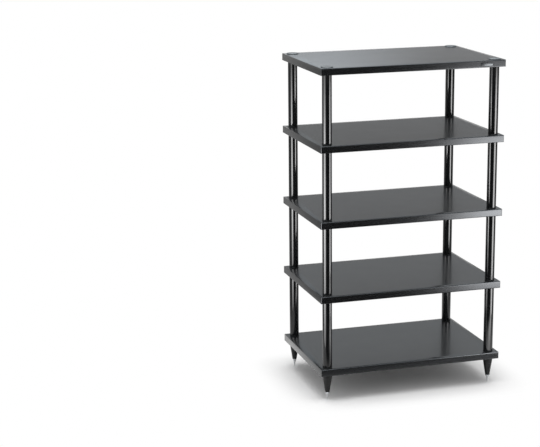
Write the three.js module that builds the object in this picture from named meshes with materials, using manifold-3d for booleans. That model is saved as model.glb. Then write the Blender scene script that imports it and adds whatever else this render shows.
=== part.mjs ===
// Open audio equipment rack: five shelf boards on sixteen column tubes, clamped by four tie rods, on spiked feet.
// Millimetres, +Z up, +X to the right and -Y to the front. The origin is on the floor under the middle of the rack.
import * as THREE from "three";
import { mergeVertices } from "three/addons/utils/BufferGeometryUtils.js";
import Module from "manifold-3d";

const wasm = await Module();
wasm.setup();

// Driving dimensions
const shelfCount = 5;
const rackWidth = 600;
const rackDepth = 400;
const boardThickness = 22;
const bayHeight = 214; // clear height between two boards
const columnDiameter = 30;
const columnInsetSide = 27; // from a side edge of the board to the column's axis
const columnInsetEnd = 25.5; // from the front or back edge to the column's axis

// Front edge strip
const stripThickness = 3;
const stripCornerRadius = 2.5;

// Column
const tubeWall = 1.5;
const ringFlange = 4; // thickness of the ring's flange under the tube
const ringEdgeRound = 1;
const ringSpigotLength = 9;
const spigotClearance = 0.3;

// Seats milled in the boards, which locate the columns, feet and caps
const seatDepth = 1;
const seatClearance = 0.3;

// Tie rod
const rodDiameter = 8;
const rodClearance = 0.3;
const rodInFoot = 20; // length screwed into the cone foot
const rodInCap = 12; // length screwed into the cap's sleeve
const rodEndRoom = 1.5; // left free past each end of the rod

// Disc cap
const capDiameter = 38;
const capHeight = 2.5; // above the board
const capEdge = 0.6; // chamfer round the top
const capSleeveDiameter = 12;
const capSleeveLength = 15;

// Cone foot
const footHeight = 59; // below the board
const footCollar = 9; // straight part below the board
const footEndDiameter = 15;
const footEndRound = 2;

// Spike
const spikeHeight = 26; // below the cone foot
const spikeShoulderDiameter = 14.5;
const spikeShoulderRim = 1;
const spikeShoulderTaper = 6;
const spikeNeckDiameter = 9;
const spikeStep = 0.5; // from the shoulder's small end in to the point
const spikeTipDiameter = 1.5; // small flat that stands on the floor
const shankDiameter = 8;
const shankClearance = 0.3;
const spikeTravel = 10; // how far the spike screws out
const shankGrip = 14; // length of shank still held when the spike is right out

// Blank plate, let into the top board's edge strip
const plateWidth = 40;
const plateHeight = 10;
const plateThickness = 0.8;
const plateInset = 64; // from the right-hand side edge to the plate's middle
const plateGap = 0.3;

// Number of flat sides on round pieces
const wideSides = 20;
const pointSides = 16;
const rodSides = 12;
const roundSteps = 3; // flats in a rounded edge
const cornerSteps = 3; // flats in a rounded corner of the strip

const overrun = 2; // cuts run this far past a face

// Heights and places worked out from the sizes above
const pitch = boardThickness + bayHeight;
const lowestBoardZ = spikeHeight + footHeight;
const boardZ = (shelf) => lowestBoardZ + shelf * pitch;
const topShelf = shelfCount - 1;
const topFaceZ = boardZ(topShelf) + boardThickness;
const columnRadius = columnDiameter / 2;
const tubeBoreRadius = columnRadius - tubeWall;
const rodHoleRadius = rodDiameter / 2 + rodClearance;
const tubeLength = bayHeight + 2 * seatDepth - ringFlange;
const shankLength = spikeTravel + shankGrip;
const axisX = rackWidth / 2 - columnInsetSide;
const axisY = rackDepth / 2 - columnInsetEnd;
const corners = [
  { name: "front_left", x: -axisX, y: -axisY },
  { name: "front_right", x: axisX, y: -axisY },
  { name: "rear_left", x: -axisX, y: axisY },
  { name: "rear_right", x: axisX, y: axisY },
];

// Materials
const paint = (color, roughness, metalness) =>
  new THREE.MeshStandardMaterial({ color, roughness, metalness });
const satinBoard = paint(0x4a4b4d, 0.45, 0);
const brushedStrip = paint(0x303134, 0.35, 0.3);
const glossPaint = paint(0x101113, 0.12, 0);
const ringRubber = paint(0x18191b, 0.8, 0);
const satinPaint = paint(0x1c1d1f, 0.45, 0);
const satinAluminium = paint(0xb4b6b8, 0.35, 1);
const polishedSteel = paint(0xd0d2d4, 0.12, 1);
const platedSteel = paint(0x9a9c9f, 0.4, 1);

// A round solid about the Z axis. The profile is a list of [radius, height] that runs from the foot of the outside
// upwards and then back down inside, or along the axis.
function turned(profile, sides) {
  const points = profile.map(([radius, height]) => new THREE.Vector2(radius, height));
  const closed = profile[0][0] > 0 ? [...points, points[0]] : points;
  return new THREE.LatheGeometry(closed, sides).rotateX(Math.PI / 2);
}

// A quarter round from the outside of an edge to its end face, as points of a profile
function quarterRound(radius, height, round, up, steps) {
  const points = [];
  for (let step = 0; step <= steps; step += 1) {
    const angle = (Math.PI / 2) * (step / steps);
    points.push([
      radius - round + round * Math.cos(angle),
      height + up * (round * Math.sin(angle) - round),
    ]);
  }
  return points;
}

function solidOf(geometry) {
  const plain = geometry.clone();
  plain.deleteAttribute("normal");
  plain.deleteAttribute("uv");
  const merged = mergeVertices(plain);
  return new wasm.Manifold(
    new wasm.Mesh({
      numProp: 3,
      vertProperties: new Float32Array(merged.attributes.position.array),
      triVerts: new Uint32Array(merged.index.array),
    }),
  );
}

function geometryOf(solid) {
  const mesh = solid.getMesh();
  const geometry = new THREE.BufferGeometry();
  geometry.setAttribute("position", new THREE.BufferAttribute(mesh.vertProperties, 3));
  geometry.setIndex(new THREE.BufferAttribute(mesh.triVerts, 1));
  geometry.computeVertexNormals();
  return geometry;
}

function cut(body, tools) {
  const solid = tools.reduce((left, tool) => left.subtract(solidOf(tool)), solidOf(body));
  return geometryOf(solid);
}

function hole(radius, fromZ, toZ, sides, x, y) {
  return turned([[0, fromZ], [radius, fromZ], [radius, toZ], [0, toZ]], sides).translate(x, y, 0);
}

// One board, with its underside at height zero
function boardGeometry(shelf) {
  const depth = rackDepth - stripThickness;
  const slab = new THREE.BoxGeometry(rackWidth, depth, boardThickness);
  slab.translate(0, stripThickness / 2, boardThickness / 2);
  const isTop = shelf === topShelf;
  const upperSeat = (isTop ? capDiameter : columnDiameter) / 2 + seatClearance;
  const lowerSeat = columnRadius + seatClearance;
  const tools = corners.flatMap(({ x, y }) => [
    hole(rodHoleRadius, -overrun, boardThickness + overrun, rodSides, x, y),
    hole(upperSeat, boardThickness - seatDepth, boardThickness + overrun, wideSides, x, y),
    hole(lowerSeat, -overrun, seatDepth, wideSides, x, y),
  ]);
  if (isTop) {
    const sleeveHole = capSleeveDiameter / 2 + rodClearance;
    const sleeveFloor = boardThickness - seatDepth - capSleeveLength - rodEndRoom;
    for (const { x, y } of corners) {
      tools.push(hole(sleeveHole, sleeveFloor, boardThickness + overrun, pointSides, x, y));
    }
  }
  return cut(slab, tools);
}

// The strip glued along a board's front edge, its two upright corners rounded
function stripGeometry() {
  const half = rackWidth / 2;
  const back = stripThickness;
  const outline = new THREE.Shape();
  outline.moveTo(-half, back);
  outline.lineTo(-half, stripCornerRadius);
  outline.absarc(-half + stripCornerRadius, stripCornerRadius, stripCornerRadius, Math.PI, 1.5 * Math.PI);
  outline.lineTo(half - stripCornerRadius, 0);
  outline.absarc(half - stripCornerRadius, stripCornerRadius, stripCornerRadius, 1.5 * Math.PI, 2 * Math.PI);
  outline.lineTo(half, back);
  const extruded = new THREE.ExtrudeGeometry(outline, {
    depth: boardThickness,
    bevelEnabled: false,
    curveSegments: cornerSteps,
  });
  return extruded.translate(0, -rackDepth / 2, 0);
}

const plateX = rackWidth / 2 - plateInset;

function plateBlock(gap, front) {
  const depth = plateThickness + front;
  const block = new THREE.BoxGeometry(plateWidth + 2 * gap, depth, plateHeight + 2 * gap);
  return block.translate(plateX, -rackDepth / 2 + plateThickness - depth / 2, boardThickness / 2);
}

// The tube stands on the ring's flange and ends in the seat of the board above
function tubeGeometry() {
  return turned(
    [[columnRadius, 0], [columnRadius, tubeLength], [tubeBoreRadius, tubeLength], [tubeBoreRadius, 0]],
    wideSides,
  );
}

function ringGeometry() {
  const spigotRadius = tubeBoreRadius - spigotClearance;
  const spigotTop = ringFlange + ringSpigotLength;
  return turned(
    [
      [columnRadius, 0],
      ...quarterRound(columnRadius, ringFlange, ringEdgeRound, 1, 1),
      [spigotRadius, ringFlange],
      [spigotRadius, spigotTop],
      [rodHoleRadius, spigotTop],
      [rodHoleRadius, 0],
    ],
    wideSides,
  );
}

// The cone foot, with its top at height zero inside the board's seat
function footGeometry() {
  const socketRadius = shankDiameter / 2 + shankClearance;
  const socketDepth = shankLength + rodEndRoom;
  const endZ = -seatDepth - footHeight;
  const body = turned(
    [
      [0, endZ],
      ...quarterRound(footEndDiameter / 2, endZ, footEndRound, -1, roundSteps).reverse(),
      [columnRadius, -seatDepth - footCollar],
      [columnRadius, 0],
      [0, 0],
    ],
    wideSides,
  );
  return cut(body, [
    hole(rodHoleRadius, -rodInFoot - rodEndRoom, overrun, rodSides, 0, 0),
    hole(socketRadius, endZ - overrun, endZ + socketDepth, rodSides, 0, 0),
  ]);
}

// The spike, with its flat tip at height zero
function spikeGeometry() {
  const shoulderRadius = spikeShoulderDiameter / 2;
  const rimZ = spikeHeight - spikeShoulderRim;
  const neckZ = rimZ - spikeShoulderTaper;
  return turned(
    [
      [0, 0],
      [spikeTipDiameter / 2, 0],
      [spikeNeckDiameter / 2 - spikeStep, neckZ],
      [spikeNeckDiameter / 2, neckZ],
      [shoulderRadius, rimZ],
      [shoulderRadius, spikeHeight],
      [shankDiameter / 2, spikeHeight],
      [shankDiameter / 2, spikeHeight + shankLength],
      [0, spikeHeight + shankLength],
    ],
    pointSides,
  );
}

// The disc cap, with the underside of its disc at height zero
function capGeometry() {
  const radius = capDiameter / 2;
  const sleeveRadius = capSleeveDiameter / 2;
  const discTop = seatDepth + capHeight;
  return turned(
    [
      [rodHoleRadius, -capSleeveLength],
      [sleeveRadius, -capSleeveLength],
      [sleeveRadius, 0],
      [radius, 0],
      [radius, discTop - capEdge],
      [radius - capEdge, discTop],
      [0, discTop],
      [0, -capSleeveLength + rodInCap + rodEndRoom],
      [rodHoleRadius, -capSleeveLength + rodInCap + rodEndRoom],
    ],
    wideSides,
  );
}

const rodFootZ = lowestBoardZ + seatDepth - rodInFoot;
const capSeatZ = topFaceZ - seatDepth;
const rodTopZ = capSeatZ - capSleeveLength + rodInCap;

function rodGeometry() {
  const length = rodTopZ - rodFootZ;
  return turned([[0, 0], [rodDiameter / 2, 0], [rodDiameter / 2, length], [0, length]], rodSides);
}

function piece(name, geometry, material, x, y, z) {
  const mesh = new THREE.Mesh(geometry, material);
  mesh.name = name;
  mesh.position.set(x, y, z);
  return mesh;
}

function shelf(index) {
  const group = new THREE.Group();
  group.position.z = boardZ(index);
  const isTop = index === topShelf;
  const strip = isTop ? cut(stripGeometry(), [plateBlock(plateGap, overrun)]) : stripGeometry();
  group.add(
    piece(`shelf_board_${index + 1}`, boardGeometry(index), satinBoard, 0, 0, 0),
    piece(`front_edge_strip_${index + 1}`, strip, brushedStrip, 0, 0, 0),
  );
  if (isTop) {
    group.add(piece("blank_plate", plateBlock(0, 0), satinAluminium, 0, 0, 0));
  }
  return group;
}

function bayColumns(bay) {
  const group = new THREE.Group();
  group.position.z = boardZ(bay) + boardThickness - seatDepth;
  for (const { name, x, y } of corners) {
    group.add(
      piece(`column_ring_${name}_${bay + 1}`, ringGeometry(), ringRubber, x, y, 0),
      piece(`column_tube_${name}_${bay + 1}`, tubeGeometry(), glossPaint, x, y, ringFlange),
    );
  }
  return group;
}

function cornerFittings({ name, x, y }) {
  const group = new THREE.Group();
  group.position.set(x, y, 0);
  group.add(
    piece(`spike_${name}`, spikeGeometry(), polishedSteel, 0, 0, 0),
    piece(`cone_foot_${name}`, footGeometry(), satinPaint, 0, 0, lowestBoardZ + seatDepth),
    piece(`tie_rod_${name}`, rodGeometry(), platedSteel, 0, 0, rodFootZ),
    piece(`disc_cap_${name}`, capGeometry(), satinAluminium, 0, 0, capSeatZ),
  );
  return group;
}

const rack = new THREE.Group();
for (let index = 0; index < shelfCount; index += 1) {
  rack.add(shelf(index));
}
for (let bay = 0; bay < shelfCount - 1; bay += 1) {
  rack.add(bayColumns(bay));
}
rack.add(...corners.map(cornerFittings));

export default rack;
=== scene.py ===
# An open five-shelf audio rack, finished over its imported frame. Metres, +Z up, -Y to the front. The
# dictionaries of the pieces are in millimetres.
import math

import bpy
from mathutils import Matrix, Vector


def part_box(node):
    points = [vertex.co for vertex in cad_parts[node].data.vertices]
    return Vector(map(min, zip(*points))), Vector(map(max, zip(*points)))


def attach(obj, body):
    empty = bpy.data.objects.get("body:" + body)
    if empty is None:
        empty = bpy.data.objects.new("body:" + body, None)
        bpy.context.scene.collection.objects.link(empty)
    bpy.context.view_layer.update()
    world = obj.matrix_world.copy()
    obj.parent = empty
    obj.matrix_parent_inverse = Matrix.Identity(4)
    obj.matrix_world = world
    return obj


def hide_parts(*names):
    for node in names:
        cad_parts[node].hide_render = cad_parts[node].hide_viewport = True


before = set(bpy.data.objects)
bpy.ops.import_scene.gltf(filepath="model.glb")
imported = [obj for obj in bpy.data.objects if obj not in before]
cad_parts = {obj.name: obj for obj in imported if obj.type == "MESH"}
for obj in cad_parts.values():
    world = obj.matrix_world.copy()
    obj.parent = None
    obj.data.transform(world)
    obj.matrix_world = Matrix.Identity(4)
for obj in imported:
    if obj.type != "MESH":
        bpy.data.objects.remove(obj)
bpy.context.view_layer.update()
mm = 0.001
corners = ("front_left", "front_right", "rear_left", "rear_right")
shelves = (1, 2, 3, 4, 5)
bays = (1, 2, 3, 4)
topShelf = shelves[-1]
wavesPerMetre = 20 / (2 * math.pi)  # what a wave texture of scale 1 draws
noiseRange = (0.3, 0.7)  # most of a noise texture's values lie in here
near = 0.1 * mm  # an edge nearer to a face than this lies on it
past = 2.0  # mm by which a cutter stands out of what it cuts
weld = 0.002 * mm  # points of a spun profile nearer than this are one
roundSteps = 3  # flats in a small rounded edge


# small helpers

def linear(hexColour):
    parts = [int(hexColour[i:i + 2], 16) / 255 for i in (1, 3, 5)]
    return tuple(p / 12.92 if p <= 0.04045 else ((p + 0.055) / 1.055) ** 2.4 for p in parts) + (1.0,)


def addNode(tree, kind, settings=None, inputs=None):
    node = tree.nodes.new("ShaderNode" + kind)
    for key, value in (settings or {}).items():
        setattr(node, key, value)
    for key, value in (inputs or {}).items():
        if isinstance(value, bpy.types.NodeSocket):
            tree.links.new(value, node.inputs[key])
        else:
            node.inputs[key].default_value = value
    return node


def clearSelection():
    if bpy.context.object and bpy.context.object.mode != "OBJECT":
        bpy.ops.object.mode_set(mode="OBJECT")
    bpy.ops.object.select_all(action="DESELECT")


def pick(piece):
    clearSelection()
    piece.select_set(True)
    bpy.context.view_layer.objects.active = piece


def smooth(piece, degrees=35):
    pick(piece)
    bpy.ops.object.shade_smooth_by_angle(angle=math.radians(degrees))


def arc(centreRadius, centreHeight, radius, fromDegrees, toDegrees, steps=5):
    points = []
    for step in range(steps + 1):
        angle = math.radians(fromDegrees + (toDegrees - fromDegrees) * step / steps)
        points.append((centreRadius + radius * math.cos(angle), centreHeight + radius * math.sin(angle)))
    return points


def spinPiece(name, profile, sides=72):
    # one vertex is drawn out along the profile, (radius, height) in millimetres, and spun about the Z axis
    clearSelection()
    bpy.ops.mesh.primitive_plane_add(size=mm, location=(0, 0, 0))
    piece = bpy.context.object
    piece.name = piece.data.name = name
    bpy.ops.object.mode_set(mode="EDIT")
    bpy.ops.mesh.select_all(action="SELECT")
    bpy.ops.mesh.merge(type="CENTER")
    bpy.ops.transform.translate(value=(profile[0][0] * mm, 0, profile[0][1] * mm))
    for (radius, height), (nextRadius, nextHeight) in zip(profile, profile[1:]):
        step = ((nextRadius - radius) * mm, 0, (nextHeight - height) * mm)
        bpy.ops.mesh.extrude_region_move(TRANSFORM_OT_translate={"value": step})
    bpy.ops.mesh.select_all(action="SELECT")
    bpy.ops.mesh.spin(steps=sides, angle=2 * math.pi, center=(0, 0, 0), axis=(0, 0, 1))
    bpy.ops.mesh.select_all(action="SELECT")
    bpy.ops.mesh.remove_doubles(threshold=weld)
    bpy.ops.mesh.normals_make_consistent(inside=False)
    bpy.ops.object.mode_set(mode="OBJECT")
    return piece


def addBlock(name, low, high):
    clearSelection()
    bpy.ops.mesh.primitive_cube_add(size=1, location=(Vector(low) + Vector(high)) / 2)
    piece = bpy.context.object
    piece.name = piece.data.name = name
    piece.scale = Vector(high) - Vector(low)
    bpy.ops.object.transform_apply(location=True, rotation=False, scale=True)
    return piece


def bevelWhere(piece, width, segments, wanted):
    # rounds the edges for which wanted(edge middle, edge direction) is true
    pick(piece)
    bpy.ops.object.mode_set(mode="EDIT")
    bpy.ops.mesh.select_all(action="DESELECT")
    bpy.ops.object.mode_set(mode="OBJECT")
    vertices = piece.data.vertices
    for edge in piece.data.edges:
        a, b = (vertices[i].co for i in edge.vertices)
        edge.select = wanted((a + b) / 2, (b - a).normalized())
    bpy.ops.object.mode_set(mode="EDIT")
    bpy.ops.mesh.select_mode(type="EDGE")
    bpy.ops.mesh.bevel(offset=width, segments=segments, affect="EDGES", profile=0.5)
    bpy.ops.mesh.select_mode(type="VERT")
    bpy.ops.object.mode_set(mode="OBJECT")


def upright(way):
    return abs(way.z) > 0.9


def cutOut(piece, cutters):
    for cutter in cutters:
        pick(piece)
        cut = piece.modifiers.new("cut", "BOOLEAN")
        cut.operation = "DIFFERENCE"
        cut.solver = "MANIFOLD"
        cut.object = cutter
        bpy.ops.object.modifier_apply(modifier=cut.name)
        bpy.data.objects.remove(cutter)


def placeCopy(source, name, place):
    piece = bpy.data.objects.new(name, source.data.copy())
    piece.data.name = name
    bpy.context.collection.objects.link(piece)
    piece.location = place
    pick(piece)
    bpy.ops.object.transform_apply(location=True, rotation=False, scale=False)
    return piece


def dress(piece, node, body, material, litBy=()):
    # litBy names the groups of cloths that the piece shows in its gloss
    piece.data.materials.clear()
    piece.data.materials.append(material)
    for group in litBy:
        lampGroups[group].objects.link(piece)
    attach(piece, body)
    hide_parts(node)


def middle(node):
    # the middle of an upright node's lower end
    low, high = (Vector(c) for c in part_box(node))
    return Vector(((low.x + high.x) / 2, (low.y + high.y) / 2, low.z))


def roundSize(low, high):
    # radius and height of an upright round node in millimetres, from its box
    return (high.x - low.x) / 2 / mm, (high.z - low.z) / mm


def nodeRadius(node):
    low, high = (Vector(c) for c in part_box(node))
    return roundSize(low, high)[0]


def blankMaterial(name):
    material = bpy.data.materials.new(name)
    material.use_nodes = True
    tree = material.node_tree
    tree.nodes.clear()
    return material, tree, addNode(tree, "TexCoord").outputs["Object"]


def startMaterial(name):
    material, tree, place = blankMaterial(name)
    shader = addNode(tree, "BsdfPrincipled")
    addNode(tree, "OutputMaterial", inputs={"Surface": shader.outputs["BSDF"]})
    return material, tree, shader, place


def twoShades(finish):
    # the darkest and the lightest tint of a finish
    base = linear(finish["colour"])[:3]
    return [tuple(c * share for c in base) for share in finish["shades"]]


def varyGloss(tree, shader, pattern, finish):
    low, high = noiseRange
    rough = addNode(tree, "MapRange", inputs={
        "Value": pattern, "From Min": low, "From Max": high,
        "To Min": finish["roughness"] - finish["roughnessSpread"],
        "To Max": finish["roughness"] + finish["roughnessSpread"]})
    tree.links.new(rough.outputs["Result"], shader.inputs["Roughness"])


def varyFinish(tree, shader, pattern, colours, finish):
    # tint and gloss follow one noise pattern
    low, high = noiseRange
    tint = addNode(tree, "MapRange", {"data_type": "FLOAT_VECTOR"}, {
        "Vector": pattern, "From Min": (low,) * 3, "From Max": (high,) * 3,
        "To Min": colours[0], "To Max": colours[1]})
    tree.links.new(tint.outputs["Vector"], shader.inputs["Base Color"])
    varyGloss(tree, shader, pattern, finish)


# camera, at the photograph's viewpoint

camera = {
    "place": (-1.7229, -4.5437, 1.6630),
    "turn": -16.179,  # degrees about Z, from looking along +Y
    "pitch": 13.343,  # degrees down
    "roll": -0.594,
    "focalPixels": 1542.0,
    "imageWidth": 540,
    "sensor": 36.0,
    "clip": (0.05, 200),
}


def addCamera():
    data = bpy.data.cameras.new("camera")
    data.sensor_width = camera["sensor"]
    data.lens = camera["focalPixels"] / camera["imageWidth"] * camera["sensor"]
    data.clip_start, data.clip_end = camera["clip"]
    holder = bpy.data.objects.new("camera", data)
    turn = Matrix.Rotation(math.radians(camera["turn"]), 4, "Z")
    pitch = Matrix.Rotation(math.radians(90 - camera["pitch"]), 4, "X")
    roll = Matrix.Rotation(math.radians(camera["roll"]), 4, "Z")
    holder.matrix_world = Matrix.Translation(camera["place"]) @ turn @ pitch @ roll
    bpy.context.collection.objects.link(holder)
    bpy.context.scene.camera = holder
    print("camera: lens", round(data.lens, 1), "mm")


# studio: a white floor, a broad soft light overhead with two weak fills, and what the gloss of the pieces
# shows: a white backdrop behind, a ceiling lighter upwards, a dark card and net on the floor, and lit cloths

studio = {
    "floorColour": "#f7f7f7",
    "floorSize": 60.0,
    "shadowCore": (0.295, 0.195),  # half size of the place under the rack that keeps its whole shadow
    "shadowFade": 0.13,  # the shadow fades to plain white within this distance of it
    "worldLight": 0.45,
    "backdropTop": (0.03, 0.14),  # sine of the height at which the white backdrop starts and ends fading
    "backdropSide": (-0.5, 0.1),  # the backdrop stands behind the rack; this is its edge, towards the camera
    "aboveBackdrop": 0.18,  # what gloss shows just above it and beside it
    "ceilingTop": (0.15, 0.70),  # sine of the height over which the ceiling gets lighter
    "ceilingGlow": 1.08,
    "ceilingColour": "#dfeffa",
    "cardHeight": 0.001,
    "cardEdge": -0.35,  # the dark card lies in front of this
    "cardFade": 0.15,
    "cardGrey": 0.02,
    "netShare": 0.65,  # share of the floor that the net hides, beside and behind the rack
    "netReach": (0.55, 1.10),  # distance from the rack's middle at which that starts and is full
}

lamps = {
    "overhead": {"place": (-0.1, -0.1, 3.0), "aim": (0, 0, 0), "size": (3.0, 2.6), "watts": 84,
                 "inGloss": True},
    "leftFill": {"place": (-1.13, -0.31, 0.52), "aim": (0, -0.2, 0.52), "size": (1.10, 1.00), "watts": 2.6,
                 "inGloss": False},
    "rightFill": {"place": (0.71, -0.70, 0.49), "aim": (0, 0, 0.49), "size": (1.00, 0.94), "watts": 2.2,
                  "inGloss": False},
}

# the cloth fronts of two softboxes, a small one over the right one, a lit cloth on the floor before it, and
# a pale cloth behind the rack for the top board: each is bright in the middle and fades out between the
# inner and the outer half size
softboxes = {
    "leftBox": {"place": (-0.758, -0.29, 0.51), "aim": (0.107, 0.212, 0.51), "inner": (0.08, 0),
                "outer": (0.32, 0.74), "strength": 14, "lights": "gloss"},
    "rightBox": {"place": (0.785, -0.89, 0.38), "aim": (0.125, -0.139, 0.38), "inner": (0.14, 0.1),
                 "outer": (0.44, 0.74), "strength": 12, "lights": "gloss"},
    "rightTop": {"place": (0.79, -0.90, 0.86), "aim": (0.13, -0.149, 0.86), "inner": (0.14, 0),
                 "outer": (0.44, 0.34), "strength": 6, "lights": "columns"},
    "rightFloor": {"place": (0.58, -0.80, 0.004), "aim": (0.58, -0.80, 1), "turn": -35,
                   "inner": (0.20, 0.05), "outer": (0.85, 0.35), "strength": 5.5, "lights": "columns"},
    "backCloth": {"place": (-0.05, 1.5, 1.55), "aim": (-0.05, 0, 1.55), "inner": (0.25, 0.1),
                  "outer": (0.9, 0.5), "strength": 0.75, "colour": "#dfeaf3", "lights": "topBoard"},
}

# the pieces that each cloth lights
lampGroups = {name: bpy.data.collections.new(name) for name in ("gloss", "columns", "topBoard")}


def addLamp(name, box):
    data = bpy.data.lights.new(name, "AREA")
    data.shape = "RECTANGLE"
    data.size, data.size_y = box["size"]
    data.energy = box["watts"]
    lamp = bpy.data.objects.new(name, data)
    place = Vector(box["place"])
    turn = (Vector(box["aim"]) - place).to_track_quat("-Z", "Y")
    lamp.matrix_world = Matrix.Translation(place) @ turn.to_matrix().to_4x4()
    lamp.visible_camera = False
    lamp.visible_glossy = box["inGloss"]
    bpy.context.collection.objects.link(lamp)


def lookedAt(tree):
    # the first output is 1 where the eye or a glass looks straight at it, the second where gloss shows it
    path = addNode(tree, "LightPath")
    either = addNode(tree, "Math", {"operation": "MAXIMUM"}, {
        0: path.outputs["Is Camera Ray"], 1: path.outputs["Is Transmission Ray"]})
    return either.outputs[0], path.outputs["Is Glossy Ray"]


def addWorld():
    world = bpy.data.worlds.new("studio")
    bpy.context.scene.world = world
    world.use_nodes = True
    tree = world.node_tree
    tree.nodes.clear()
    direct, glossy = lookedAt(tree)
    way = addNode(tree, "SeparateXYZ", inputs={"Vector": addNode(tree, "TexCoord").outputs["Generated"]})
    low, high = studio["backdropSide"]
    side = addNode(tree, "MapRange", {"interpolation_type": "SMOOTHSTEP"}, {
        "Value": way.outputs["Y"], "From Min": low, "From Max": high,
        "To Min": studio["aboveBackdrop"], "To Max": 1.0})
    low, high = studio["backdropTop"]
    backdrop = addNode(tree, "MapRange", {"interpolation_type": "SMOOTHSTEP"}, {
        "Value": way.outputs["Z"], "From Min": low, "From Max": high,
        "To Min": side.outputs["Result"], "To Max": studio["aboveBackdrop"]})
    low, high = studio["ceilingTop"]
    ceiling = addNode(tree, "MapRange", inputs={
        "Value": way.outputs["Z"], "From Min": low, "From Max": high, "To Max": studio["ceilingGlow"]})
    glow = addNode(tree, "Math", {"operation": "ADD"}, {
        0: backdrop.outputs["Result"], 1: ceiling.outputs["Result"]})
    inGloss = addNode(tree, "MapRange", inputs={
        "Value": glossy, "To Min": studio["worldLight"], "To Max": glow.outputs[0]})
    strength = addNode(tree, "MapRange", inputs={
        "Value": direct, "To Min": inGloss.outputs["Result"], "To Max": 1.0})
    above = addNode(tree, "MapRange", inputs={
        "Value": way.outputs["Z"], "From Min": low, "From Max": high, "To Max": glossy})
    tint = addNode(tree, "MapRange", {"data_type": "FLOAT_VECTOR"}, {
        "Vector": above.outputs["Result"],
        "To Min": (1, 1, 1), "To Max": linear(studio["ceilingColour"])[:3]})
    background = addNode(tree, "Background", inputs={
        "Color": tint.outputs["Vector"], "Strength": strength.outputs["Result"]})
    addNode(tree, "OutputWorld", inputs={"Surface": background.outputs[0]})


def floorMaterial():
    # matt white paper sweep: it keeps the rack's shadow, and is plain white past it
    material, tree, place = blankMaterial("whitePaperSweep")
    mirrored = addNode(tree, "VectorMath", {"operation": "ABSOLUTE"}, {0: place})
    beyond = addNode(tree, "VectorMath", {"operation": "SUBTRACT"}, {
        0: mirrored.outputs["Vector"], 1: studio["shadowCore"] + (0,)})
    outside = addNode(tree, "VectorMath", {"operation": "MAXIMUM"}, {
        0: beyond.outputs["Vector"], 1: (0, 0, 0)})
    distance = addNode(tree, "VectorMath", {"operation": "LENGTH"}, {0: outside.outputs["Vector"]})
    fade = addNode(tree, "MapRange", {"interpolation_type": "SMOOTHSTEP"}, {
        "Value": distance.outputs["Value"], "From Max": studio["shadowFade"]})
    direct, glossy = lookedAt(tree)
    seen = addNode(tree, "Math", {"operation": "MAXIMUM"}, {0: direct, 1: glossy})
    plain = addNode(tree, "Math", {"operation": "MULTIPLY"}, {0: fade.outputs["Result"], 1: seen.outputs[0]})
    paper = addNode(tree, "BsdfDiffuse", inputs={"Color": linear(studio["floorColour"])})
    white = addNode(tree, "Emission", inputs={"Color": (1, 1, 1, 1), "Strength": 1.0})
    mix = addNode(tree, "MixShader", inputs={0: plain.outputs[0], 1: paper.outputs[0], 2: white.outputs[0]})
    addNode(tree, "OutputMaterial", inputs={"Surface": mix.outputs[0]})
    return material


def cardMaterial():
    # dark card on the floor in front, for the dark middles of the tubes, and thin dark net over the rest,
    # for their rims; only gloss shows them
    material, tree, place = blankMaterial("darkCardAndNet")
    way = addNode(tree, "SeparateXYZ", inputs={"Vector": place})
    edge = studio["cardEdge"]
    card = addNode(tree, "MapRange", {"interpolation_type": "SMOOTHSTEP"}, {
        "Value": way.outputs["Y"], "From Min": edge - studio["cardFade"], "From Max": edge,
        "To Min": 1.0, "To Max": 0.0})
    distance = addNode(tree, "VectorMath", {"operation": "LENGTH"}, {0: place})
    low, high = studio["netReach"]
    net = addNode(tree, "MapRange", {"interpolation_type": "SMOOTHSTEP"}, {
        "Value": distance.outputs["Value"], "From Min": low, "From Max": high, "To Max": studio["netShare"]})
    kept = addNode(tree, "Math", {"operation": "MAXIMUM"}, {
        0: card.outputs["Result"], 1: net.outputs["Result"]})
    paper = addNode(tree, "BsdfDiffuse", inputs={"Color": (studio["cardGrey"],) * 3 + (1,)})
    nothing = addNode(tree, "BsdfTransparent")
    mix = addNode(tree, "MixShader", inputs={0: kept.outputs[0], 1: nothing.outputs[0], 2: paper.outputs[0]})
    addNode(tree, "OutputMaterial", inputs={"Surface": mix.outputs[0]})
    return material


def clothMaterial(name, box):
    # lit cloth that adds its light to whatever lies behind it
    material, tree, place = blankMaterial(name + "Cloth")
    mirrored = addNode(tree, "VectorMath", {"operation": "ABSOLUTE"}, {0: place})
    way = addNode(tree, "SeparateXYZ", inputs={"Vector": mirrored.outputs["Vector"]})
    level = box["strength"]
    for axis, inner, outer in zip("XY", box["inner"], box["outer"]):
        fade = addNode(tree, "MapRange", {"interpolation_type": "SMOOTHSTEP"}, {
            "Value": way.outputs[axis], "From Min": inner, "From Max": outer, "To Min": 1.0, "To Max": 0.0})
        dimmed = addNode(tree, "Math", {"operation": "MULTIPLY"}, {0: fade.outputs["Result"], 1: level})
        level = dimmed.outputs[0]
    colour = linear(box.get("colour", "#ffffff"))
    glow = addNode(tree, "Emission", inputs={"Color": colour, "Strength": level})
    nothing = addNode(tree, "BsdfTransparent")
    both = addNode(tree, "AddShader", inputs={0: glow.outputs[0], 1: nothing.outputs[0]})
    addNode(tree, "OutputMaterial", inputs={"Surface": both.outputs[0]})
    return material


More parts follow.
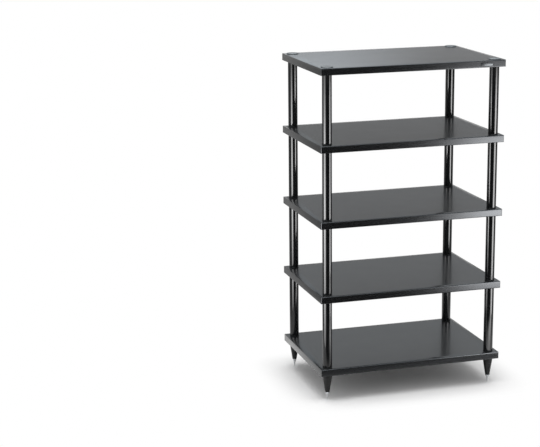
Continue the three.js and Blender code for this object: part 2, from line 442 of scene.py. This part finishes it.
def addSoftbox(name, box):
    clearSelection()
    bpy.ops.mesh.primitive_plane_add(size=2)
    panel = bpy.context.object
    panel.name = name
    panel.scale = (box["outer"][0], box["outer"][1], 1)
    bpy.ops.object.transform_apply(location=False, rotation=False, scale=True)
    place = Vector(box["place"])
    facing = (Vector(box["aim"]) - place).to_track_quat("Z", "Y").to_matrix().to_4x4()
    turn = Matrix.Rotation(math.radians(box.get("turn", 0)), 4, "Z")
    panel.matrix_world = Matrix.Translation(place) @ facing @ turn
    panel.data.materials.append(clothMaterial(name, box))
    panel.visible_camera = panel.visible_diffuse = False
    panel.visible_shadow = panel.visible_transmission = False
    panel.light_linking.receiver_collection = lampGroups[box["lights"]]


def addSheet(name, height, material):
    clearSelection()
    bpy.ops.mesh.primitive_plane_add(size=studio["floorSize"], location=(0, 0, height))
    sheet = bpy.context.object
    sheet.name = name
    bpy.ops.object.transform_apply(location=True, rotation=False, scale=False)
    sheet.data.materials.append(material)
    return sheet


def addStudio():
    addSheet("floor", 0, floorMaterial())
    card = addSheet("card", studio["cardHeight"], cardMaterial())
    card.visible_camera = card.visible_diffuse = False
    card.visible_shadow = card.visible_transmission = False
    for name, box in lamps.items():
        addLamp(name, box)
    for name, box in softboxes.items():
        addSoftbox(name, box)
    addWorld()
    print("studio: floor, card,", len(lamps), "lamps and", len(softboxes), "softboxes")


# boards: MDF faced in black melamine, a pressed foil under satin lacquer: an even dark grey sheen, soft
# reflections of the tubes and a very fine grain

board = {
    "colour": "#17181a",
    "shades": (0.9, 1.1),
    "roughness": 0.33,
    "roughnessSpread": 0.012,
    "ior": 1.5,
    "foilSpecular": 0.3,
    "topCoat": 0.6,  # share of clear satin lacquer, smoother than the foil under it
    "topCoatRoughness": 0.14,
    "grainSize": 0.9,  # the real grain is about 0.3 and would not show
    "grainDepth": 0.012,
    "grainStrength": 0.35,
    "grainShare": 0.5,  # of the grain in the tint, beside the cloud
    "tintRange": (0.35, 1.15),  # values of the two together, from the dark to the light shade
    "cloudSize": 90.0,  # faint unevenness of the press
    "edgeRound": 0.4,
    "seatDepth": 1.0,
    "seatGap": 0.3,  # round a tube, a foot or a cap in its seat
    "rodHole": 4.3,
    "sleeveHole": 6.3,
    "sleeveHoleDepth": 17.5,
}


def boardMaterial():
    material, tree, shader, place = startMaterial("blackMelamine")
    grain = addNode(tree, "TexNoise", inputs={
        "Vector": place, "Scale": 1 / (board["grainSize"] * mm), "Detail": 2.0, "Roughness": 0.6})
    cloud = addNode(tree, "TexNoise", inputs={
        "Vector": place, "Scale": 1 / (board["cloudSize"] * mm), "Detail": 3.0})
    both = addNode(tree, "Math", {"operation": "MULTIPLY_ADD"}, {
        0: grain.outputs["Fac"], 1: board["grainShare"], 2: cloud.outputs["Fac"]})
    low, high = board["tintRange"]
    dark, light = twoShades(board)
    tint = addNode(tree, "MapRange", {"data_type": "FLOAT_VECTOR"}, {
        "Vector": both.outputs[0], "From Min": (low,) * 3, "From Max": (high,) * 3,
        "To Min": dark, "To Max": light})
    bump = addNode(tree, "Bump", inputs={
        "Height": grain.outputs["Fac"], "Strength": board["grainStrength"],
        "Distance": board["grainDepth"] * mm})
    varyGloss(tree, shader, cloud.outputs["Fac"], board)
    tree.links.new(tint.outputs["Vector"], shader.inputs["Base Color"])
    tree.links.new(bump.outputs["Normal"], shader.inputs["Normal"])
    shader.inputs["IOR"].default_value = board["ior"]
    shader.inputs["Specular IOR Level"].default_value = board["foilSpecular"]
    shader.inputs["Coat Weight"].default_value = board["topCoat"]
    shader.inputs["Coat Roughness"].default_value = board["topCoatRoughness"]
    return material


def cutterAt(node, profile):
    centre = middle(node)
    cutter = spinPiece("cutter", profile)
    cutter.location = (centre.x, centre.y, 0)
    pick(cutter)
    bpy.ops.object.transform_apply(location=True, rotation=False, scale=False)
    return cutter


def lowerSeatRadius():
    return nodeRadius("column_tube_front_left_1") + board["seatGap"]


def boardPiece(shelf, upperSeat, sleeved):
    node = f"shelf_board_{shelf}"
    low, high = (Vector(c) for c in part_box(node))
    piece = addBlock(f"board_{shelf}_faced", low, high)
    rounded = board["edgeRound"] * mm
    bevelWhere(piece, rounded, roundSteps, lambda at, way: at.y > low.y + rounded)
    bottom, top = low.z / mm, high.z / mm
    # one stepped cutter for each corner: lower seat, rod hole, sleeve hole under a cap, upper seat
    lowerSeat, seatDepth = lowerSeatRadius(), board["seatDepth"]
    steps = [(0, bottom - past), (lowerSeat, bottom - past), (lowerSeat, bottom + seatDepth)]
    steps += [(board["rodHole"], bottom + seatDepth)]
    if sleeved:
        ledge = top - board["sleeveHoleDepth"]
        steps += [(board["rodHole"], ledge), (board["sleeveHole"], ledge)]
        steps += [(board["sleeveHole"], top - seatDepth)]
    else:
        steps += [(board["rodHole"], top - seatDepth)]
    steps += [(upperSeat, top - seatDepth), (upperSeat, top + past), (0, top + past)]
    cutOut(piece, [cutterAt(f"tie_rod_{corner}", steps) for corner in corners])
    smooth(piece)
    return piece


def addBoards():
    material = boardMaterial()
    plain = boardPiece(1, lowerSeatRadius(), False)
    first = Vector(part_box("shelf_board_1")[0])
    pieces = {1: plain}
    for shelf in shelves[1:-1]:
        offset = Vector(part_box(f"shelf_board_{shelf}")[0]) - first
        pieces[shelf] = placeCopy(plain, f"board_{shelf}_faced", offset)
    pieces[topShelf] = boardPiece(topShelf, nodeRadius("disc_cap_front_left") + board["seatGap"], True)
    for shelf, piece in pieces.items():
        groups = ("topBoard",) if shelf == topShelf else ()
        dress(piece, f"shelf_board_{shelf}", "rack", material, litBy=groups)
    print("boards:", len(pieces))


# front edge strips: flat aluminium bar, brushed lengthways and anodised black: a dark metal sheen with long
# faint streaks, that spreads highlights upwards and downwards

strip = {
    "colours": ("#373839", "#414244"),
    "roughness": 0.26,
    "roughnessSpread": 0.03,
    "metal": 0.9,  # the rest is the dyed oxide
    "anisotropy": 0.35,
    "streakWidth": 0.7,  # real brush lines are about 0.1 and would not show
    "streakLength": 90.0,
    "streakDepth": 0.006,
    "streakStrength": 0.5,
    "cornerRound": 2.5,
    "cornerSteps": 6,
    "edgeRound": 0.25,
    "plateGap": 0.3,
}


def brushedMaterial(name, finish):
    # long thin streaks along X vary the tint, the gloss and the surface
    material, tree, shader, place = startMaterial(name)
    run = 1 / (finish["streakLength"] * mm)
    across = 1 / (finish["streakWidth"] * mm)
    stretch = addNode(tree, "Mapping", inputs={"Vector": place, "Scale": (run, across, across)})
    streaks = addNode(tree, "TexNoise", inputs={
        "Vector": stretch.outputs[0], "Scale": 1.0, "Detail": 3.0, "Roughness": 0.65})
    bump = addNode(tree, "Bump", inputs={
        "Height": streaks.outputs["Fac"], "Strength": finish["streakStrength"],
        "Distance": finish["streakDepth"] * mm})
    tangent = addNode(tree, "Tangent", {"direction_type": "RADIAL", "axis": "Z"})
    colours = [linear(colour)[:3] for colour in finish["colours"]]
    varyFinish(tree, shader, streaks.outputs["Fac"], colours, finish)
    tree.links.new(bump.outputs["Normal"], shader.inputs["Normal"])
    tree.links.new(tangent.outputs["Tangent"], shader.inputs["Tangent"])
    shader.inputs["Metallic"].default_value = finish["metal"]
    shader.inputs["Anisotropic"].default_value = finish["anisotropy"]
    shader.inputs["Anisotropic Rotation"].default_value = 0.25  # highlights spread across the brush lines
    return material


def stripPiece(shelf, pocketed):
    node = f"front_edge_strip_{shelf}"
    low, high = (Vector(c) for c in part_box(node))
    piece = addBlock(f"edge_strip_{shelf}_brushed", low, high)
    bevelWhere(piece, strip["cornerRound"] * mm, strip["cornerSteps"],
               lambda at, way: upright(way) and at.y < low.y + near)
    bevelWhere(piece, strip["edgeRound"] * mm, roundSteps,
               lambda at, way: not upright(way) and at.y < high.y - near)
    if pocketed:
        lowPlate, highPlate = (Vector(c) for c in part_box("blank_plate"))
        gap = Vector((1, 0, 1)) * strip["plateGap"] * mm
        ahead = Vector((0, past * mm, 0))
        cutOut(piece, [addBlock("cutter", lowPlate - gap - ahead, highPlate + gap)])
    smooth(piece)
    return piece


def addStrips():
    material = brushedMaterial("blackAnodisedBrushed", strip)
    plain = stripPiece(1, False)
    first = Vector(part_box("front_edge_strip_1")[0])
    pieces = {1: plain}
    for shelf in shelves[1:-1]:
        offset = Vector(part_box(f"front_edge_strip_{shelf}")[0]) - first
        pieces[shelf] = placeCopy(plain, f"edge_strip_{shelf}_brushed", offset)
    pieces[topShelf] = stripPiece(topShelf, True)
    for shelf, piece in pieces.items():
        dress(piece, f"front_edge_strip_{shelf}", "rack", material, litBy=("gloss",))
    print("front edge strips:", len(pieces))


# blank plate: bare satin aluminium, a dull silver with short brush lines

plate = {
    "colours": ("#47494b", "#616365"),
    "roughness": 0.28,
    "roughnessSpread": 0.06,
    "metal": 1.0,
    "anisotropy": 0.35,
    "streakWidth": 0.4,
    "streakLength": 25.0,
    "streakDepth": 0.008,
    "streakStrength": 0.5,
    "edgeRound": 0.25,
}


def addPlate():
    low, high = (Vector(c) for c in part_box("blank_plate"))
    piece = addBlock("name_plate_blank", low, high)
    bevelWhere(piece, plate["edgeRound"] * mm, roundSteps, lambda at, way: at.y < high.y - near)
    smooth(piece)
    material = brushedMaterial("satinAluminiumPlate", plate)
    dress(piece, "blank_plate", "rack", material, litBy=("gloss",))
    print("blank plate")


# column tubes: steel tube in gloss black stove enamel: deep black with long clear highlights, barely
# softened by orange peel

tube = {
    "colour": "#101112",
    "shades": (0.9, 1.15),
    "roughness": 0.13,
    "roughnessSpread": 0.03,
    "ior": 1.5,
    "specular": 0.5,
    "wearSize": 35.0,
    "peelSize": 2.5,
    "peelDepth": 0.0008,
    "peelStrength": 0.4,
    "wall": 1.5,
    "endRound": 1.1,
    "sides": 96,
}


def enamelMaterial(name, finish):
    material, tree, shader, place = startMaterial(name)
    peel = addNode(tree, "TexNoise", inputs={
        "Vector": place, "Scale": 1 / (finish["peelSize"] * mm), "Detail": 2.0})
    wear = addNode(tree, "TexNoise", inputs={
        "Vector": place, "Scale": 1 / (finish["wearSize"] * mm), "Detail": 4.0})
    bump = addNode(tree, "Bump", inputs={
        "Height": peel.outputs["Fac"], "Strength": finish["peelStrength"],
        "Distance": finish["peelDepth"] * mm})
    varyFinish(tree, shader, wear.outputs["Fac"], twoShades(finish), finish)
    tree.links.new(bump.outputs["Normal"], shader.inputs["Normal"])
    shader.inputs["IOR"].default_value = finish["ior"]
    shader.inputs["Specular IOR Level"].default_value = finish["specular"]
    return material


def tubeProfile(radius, length):
    inner = radius - tube["wall"]
    turn = tube["endRound"]
    outside = arc(radius - turn, turn, turn, -90, 0) + arc(radius - turn, length - turn, turn, 0, 90)
    return outside + [(inner, length), (inner, 0), outside[0]]


def addTubes():
    material = enamelMaterial("glossBlackEnamel", tube)
    low, high = (Vector(c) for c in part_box("column_tube_front_left_1"))
    model = spinPiece("tubeModel", tubeProfile(*roundSize(low, high)), tube["sides"])
    smooth(model)
    for bay in bays:
        for corner in corners:
            node = f"column_tube_{corner}_{bay}"
            piece = placeCopy(model, f"tube_{corner}_{bay}_enamelled", middle(node))
            dress(piece, node, "rack", material, litBy=("gloss", "columns"))
    bpy.data.objects.remove(model)
    print("column tubes:", len(bays) * len(corners))


# column rings: moulded black rubber, a dull black with a fine stipple and no highlight

ring = {
    "colour": "#141516",
    "shades": (0.8, 1.2),
    "roughness": 0.62,
    "roughnessSpread": 0.06,
    "ior": 1.52,
    "cloudSize": 12.0,
    "stippleSize": 0.8,
    "stippleDepth": 0.02,
    "stippleStrength": 0.4,
    "flange": 4.0,
    "edgeRound": 1.0,
    "footRound": 0.4,
    "spigotRadius": 13.2,
    "bore": 4.3,
}


def rubberMaterial():
    material, tree, shader, place = startMaterial("mouldedBlackRubber")
    stipple = addNode(tree, "TexVoronoi", {"feature": "SMOOTH_F1"}, {
        "Vector": place, "Scale": 1 / (ring["stippleSize"] * mm)})
    cloud = addNode(tree, "TexNoise", inputs={
        "Vector": place, "Scale": 1 / (ring["cloudSize"] * mm), "Detail": 3.0})
    bump = addNode(tree, "Bump", inputs={
        "Height": stipple.outputs["Distance"], "Strength": ring["stippleStrength"],
        "Distance": ring["stippleDepth"] * mm})
    varyFinish(tree, shader, cloud.outputs["Fac"], twoShades(ring), ring)
    tree.links.new(bump.outputs["Normal"], shader.inputs["Normal"])
    shader.inputs["IOR"].default_value = ring["ior"]
    return material


def ringProfile(radius, height):
    turn, low = ring["edgeRound"], ring["footRound"]
    spigot, bore, flange = ring["spigotRadius"], ring["bore"], ring["flange"]
    outside = arc(radius - low, low, low, -90, 0, roundSteps)
    outside += arc(radius - turn, flange - turn, turn, 0, 90)
    inside = [(spigot, flange), (spigot, height), (bore, height), (bore, 0)]
    return outside + inside + [outside[0]]


def addRings():
    material = rubberMaterial()
    low, high = (Vector(c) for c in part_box("column_ring_front_left_1"))
    model = spinPiece("ringModel", ringProfile(*roundSize(low, high)))
    smooth(model)
    for bay in bays:
        for corner in corners:
            node = f"column_ring_{corner}_{bay}"
            piece = placeCopy(model, f"ring_{corner}_{bay}_moulded", middle(node))
            dress(piece, node, "rack", material)
    bpy.data.objects.remove(model)
    print("column rings:", len(bays) * len(corners))


# cone feet: turned steel in satin black enamel, nearly black with a soft broad highlight

foot = {
    "colour": "#0a0b0c",
    "shades": (0.9, 1.15),
    "roughness": 0.30,
    "roughnessSpread": 0.05,
    "ior": 1.5,
    "specular": 0.3,
    "wearSize": 35.0,
    "peelSize": 1.2,
    "peelDepth": 0.01,
    "peelStrength": 0.4,
    "collar": 10.0,  # straight part, with the 1 mm that sits in the board's seat
    "topRound": 0.4,
    "endRadius": 7.5,
    "endRound": 2.0,
    "blend": 6.0,  # length over which the collar turns into the taper
    "blendSteps": 6,
    "hole": 4.3,
    "rodHoleDepth": 21.5,
    "socketDepth": 25.5,
    "sides": 96,
}


def footProfile(radius, height):
    end, turn, hole, topRound = foot["endRadius"], foot["endRound"], foot["hole"], foot["topRound"]
    collarFoot = height - foot["collar"]
    slope = (radius - end) / (collarFoot - turn)
    half = foot["blend"] / 2
    # a soft bend between the collar and the taper, as a quadratic curve through three points
    a, b, c = (radius - slope * half, collarFoot - half), (radius, collarFoot), (radius, collarFoot + half)
    bend = []
    for step in range(foot["blendSteps"] + 1):
        t = step / foot["blendSteps"]
        bend.append(tuple((1 - t) ** 2 * p + 2 * t * (1 - t) * q + t * t * r for p, q, r in zip(a, b, c)))
    return (
        [(0, foot["socketDepth"]), (hole, foot["socketDepth"]), (hole, 0)]
        + arc(end - turn, turn, turn, -90, 0)
        + bend
        + arc(radius - topRound, height - topRound, topRound, 0, 90, roundSteps)
        + [(hole, height), (hole, height - foot["rodHoleDepth"]), (0, height - foot["rodHoleDepth"])]
    )


def addFeet():
    material = enamelMaterial("satinBlackEnamel", foot)
    low, high = (Vector(c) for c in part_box("cone_foot_front_left"))
    model = spinPiece("footModel", footProfile(*roundSize(low, high)), foot["sides"])
    smooth(model)
    for corner in corners:
        node = f"cone_foot_{corner}"
        piece = placeCopy(model, f"foot_{corner}_enamelled", middle(node))
        dress(piece, node, "rack", material, litBy=("gloss",))
    bpy.data.objects.remove(model)
    print("cone feet:", len(corners))


# spikes: turned steel, polished and chromed, with an M8 thread: mirror bright, hardly dulled by the turning

spike = {
    "colour": "#c9cbcd",
    "shades": (0.92, 1.05),
    "roughness": 0.10,
    "roughnessSpread": 0.03,
    "hazeSize": 4.0,
    "turningPitch": 0.5,  # between turning marks
    "turningDepth": 0.002,
    "turningStrength": 0.3,
    "tipRadius": 0.75,
    "neckRadius": 4.5,
    "neckStep": 0.5,
    "neckHeight": 19.0,
    "shoulderHeight": 26.0,
    "rim": 1.0,  # height of the shoulder's straight edge
    "rimStep": 0.15,
    "rimRound": 0.2,
    "stepHeight": 0.1,  # what a sharp step rises by
    "shankRadius": 4.0,
    "threadPitch": 1.25,
    "threadDepth": 0.6,
    "crestGap": 0.08,  # between a crest and the shank's full radius
    "crestWidth": 0.1,  # share of the pitch
    "endTaper": 1.2,
    "sides": 64,
}


def chromeMaterial():
    material, tree, shader, place = startMaterial("polishedChrome")
    marks = addNode(tree, "TexWave", {"bands_direction": "Z"}, {
        "Vector": place, "Scale": 1 / (spike["turningPitch"] * mm) / wavesPerMetre,
        "Distortion": 0.6, "Detail": 1.0})
    haze = addNode(tree, "TexNoise", inputs={
        "Vector": place, "Scale": 1 / (spike["hazeSize"] * mm), "Detail": 3.0})
    bump = addNode(tree, "Bump", inputs={
        "Height": marks.outputs["Fac"], "Strength": spike["turningStrength"],
        "Distance": spike["turningDepth"] * mm})
    varyFinish(tree, shader, haze.outputs["Fac"], twoShades(spike), spike)
    tree.links.new(bump.outputs["Normal"], shader.inputs["Normal"])
    shader.inputs["Metallic"].default_value = 1.0
    return material


def spikeProfile(shoulderRadius, height):
    neck, neckZ, step = spike["neckRadius"], spike["neckHeight"], spike["stepHeight"]
    topZ, edgeZ, turn = spike["shoulderHeight"], spike["shoulderHeight"] - spike["rim"], spike["rimRound"]
    root, crest = spike["shankRadius"] - spike["threadDepth"], spike["shankRadius"] - spike["crestGap"]
    pitch, halfCrest = spike["threadPitch"], spike["crestWidth"] / 2
    points = [(0, 0), (spike["tipRadius"], 0), (neck - spike["neckStep"], neckZ), (neck, neckZ + step)]
    points += [(shoulderRadius - spike["rimStep"], edgeZ - step), (shoulderRadius, edgeZ + step)]
    points += [(shoulderRadius, topZ - turn), (shoulderRadius - turn, topZ), (root, topZ)]
    ridges = int((height - topZ) / pitch) - 1
    for ridge in range(ridges):
        at = topZ + pitch * (ridge + 0.5)
        points += [(root, at), (crest, at + pitch * (0.5 - halfCrest))]
        points += [(crest, at + pitch * (0.5 + halfCrest))]
    points += [(root, topZ + pitch * (ridges + 0.5)), (spike["shankRadius"] - spike["endTaper"], height)]
    return points + [(0, height)]


def addSpikes():
    material = chromeMaterial()
    low, high = (Vector(c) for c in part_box("spike_front_left"))
    model = spinPiece("spikeModel", spikeProfile(*roundSize(low, high)), spike["sides"])
    smooth(model)
    for corner in corners:
        node = f"spike_{corner}"
        piece = placeCopy(model, f"spike_{corner}_chromed", middle(node))
        dress(piece, node, f"leveller_{corner}", material, litBy=("gloss",))
    bpy.data.objects.remove(model)
    print("spikes:", len(corners))


# disc caps: turned aluminium with a satin face, a soft silver with fine rings

cap = {
    "colours": ("#818486", "#96999b"),
    "roughness": 0.33,
    "roughnessSpread": 0.06,
    "hazeSize": 8.0,
    "ringPitch": 0.7,  # real turning marks are about 0.1 and would not show
    "ringDepth": 0.01,
    "ringStrength": 0.4,
    "sleeveRadius": 6.0,
    "sleeveLength": 15.0,
    "sleeveChamfer": 0.5,
    "discHeight": 3.5,
    "underChamfer": 0.2,
    "chamfer": 0.6,
    "chamferBend": (0.15, 0.3),  # inwards and upwards, the middle of the rounded chamfer
    "hole": 4.3,
    "holeDepth": 13.5,
    "smoothBelow": 25,  # degrees
    "sides": 96,
}


def turnedAluminium(corner):
    # fine rings round the disc's own middle
    material, tree, shader, place = startMaterial(f"turnedAluminium_{corner}")
    centre = middle(f"disc_cap_{corner}")
    centred = addNode(tree, "Mapping", inputs={"Vector": place, "Location": -centre})
    rings = addNode(tree, "TexWave", {"wave_type": "RINGS", "rings_direction": "Z"}, {
        "Vector": centred.outputs[0], "Scale": 1 / (cap["ringPitch"] * mm) / wavesPerMetre,
        "Distortion": 1.5, "Detail": 2.0, "Detail Scale": 2.0})
    haze = addNode(tree, "TexNoise", inputs={
        "Vector": place, "Scale": 1 / (cap["hazeSize"] * mm), "Detail": 3.0})
    dark, light = (linear(colour)[:3] for colour in cap["colours"])
    tint = addNode(tree, "MapRange", {"data_type": "FLOAT_VECTOR"}, {
        "Vector": rings.outputs["Fac"], "To Min": dark, "To Max": light})
    bump = addNode(tree, "Bump", inputs={
        "Height": rings.outputs["Fac"], "Strength": cap["ringStrength"], "Distance": cap["ringDepth"] * mm})
    varyGloss(tree, shader, haze.outputs["Fac"], cap)
    tree.links.new(tint.outputs["Vector"], shader.inputs["Base Color"])
    tree.links.new(bump.outputs["Normal"], shader.inputs["Normal"])
    shader.inputs["Metallic"].default_value = 1.0
    return material


def capProfile(radius):
    sleeve, length, hole, holeTop = cap["sleeveRadius"], cap["sleeveLength"], cap["hole"], cap["holeDepth"]
    low, under, edge = cap["sleeveChamfer"], cap["underChamfer"], cap["chamfer"]
    top = length + cap["discHeight"]
    inwards, upwards = cap["chamferBend"]
    return [
        (0, holeTop), (hole, holeTop), (hole, 0), (sleeve - low, 0), (sleeve, low),
        (sleeve, length), (radius - under, length), (radius, length + under),
        (radius, top - edge), (radius - inwards, top - edge + upwards), (radius - edge, top), (0, top),
    ]


def addCaps():
    model = spinPiece("capModel", capProfile(nodeRadius("disc_cap_front_left")), cap["sides"])
    smooth(model, cap["smoothBelow"])
    for corner in corners:
        node = f"disc_cap_{corner}"
        piece = placeCopy(model, f"cap_{corner}_turned", middle(node))
        dress(piece, node, "rack", turnedAluminium(corner))
    bpy.data.objects.remove(model)
    print("disc caps:", len(corners))


# tie rods: threaded rod in zinc plate, inside the columns: dull grey, with painted shade in the roots of the
# thread

rod = {
    "colours": ("#6f6f6b", "#a9a9a4"),
    "roughness": 0.38,
    "threadPitch": 1.25,
    "threadDepth": 0.3,
}


def addRodFinish():
    # the rods never show, so they stay the frame's own nodes and only get their finish
    material, tree, shader, place = startMaterial("zincPlatedRod")
    thread = addNode(tree, "TexWave", {"bands_direction": "Z"}, {
        "Vector": place, "Scale": 1 / (rod["threadPitch"] * mm) / wavesPerMetre})
    # painted shade: the tint follows the thread's height, darker in its roots and lighter on its crests
    dark, light = (linear(colour)[:3] for colour in rod["colours"])
    tint = addNode(tree, "MapRange", {"data_type": "FLOAT_VECTOR"}, {
        "Vector": thread.outputs["Fac"], "To Min": dark, "To Max": light})
    bump = addNode(tree, "Bump", inputs={
        "Height": thread.outputs["Fac"], "Distance": rod["threadDepth"] * mm})
    tree.links.new(tint.outputs["Vector"], shader.inputs["Base Color"])
    tree.links.new(bump.outputs["Normal"], shader.inputs["Normal"])
    shader.inputs["Metallic"].default_value = 1.0
    shader.inputs["Roughness"].default_value = rod["roughness"]
    for corner in corners:
        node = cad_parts[f"tie_rod_{corner}"]
        node.data.materials.clear()
        node.data.materials.append(material)
    print("tie rods:", len(corners))


bpy.context.scene.view_settings.view_transform = "Standard"
addCamera()
addStudio()
addBoards()
addStrips()
addPlate()
addTubes()
addRings()
addFeet()
addSpikes()
addCaps()
addRodFinish()
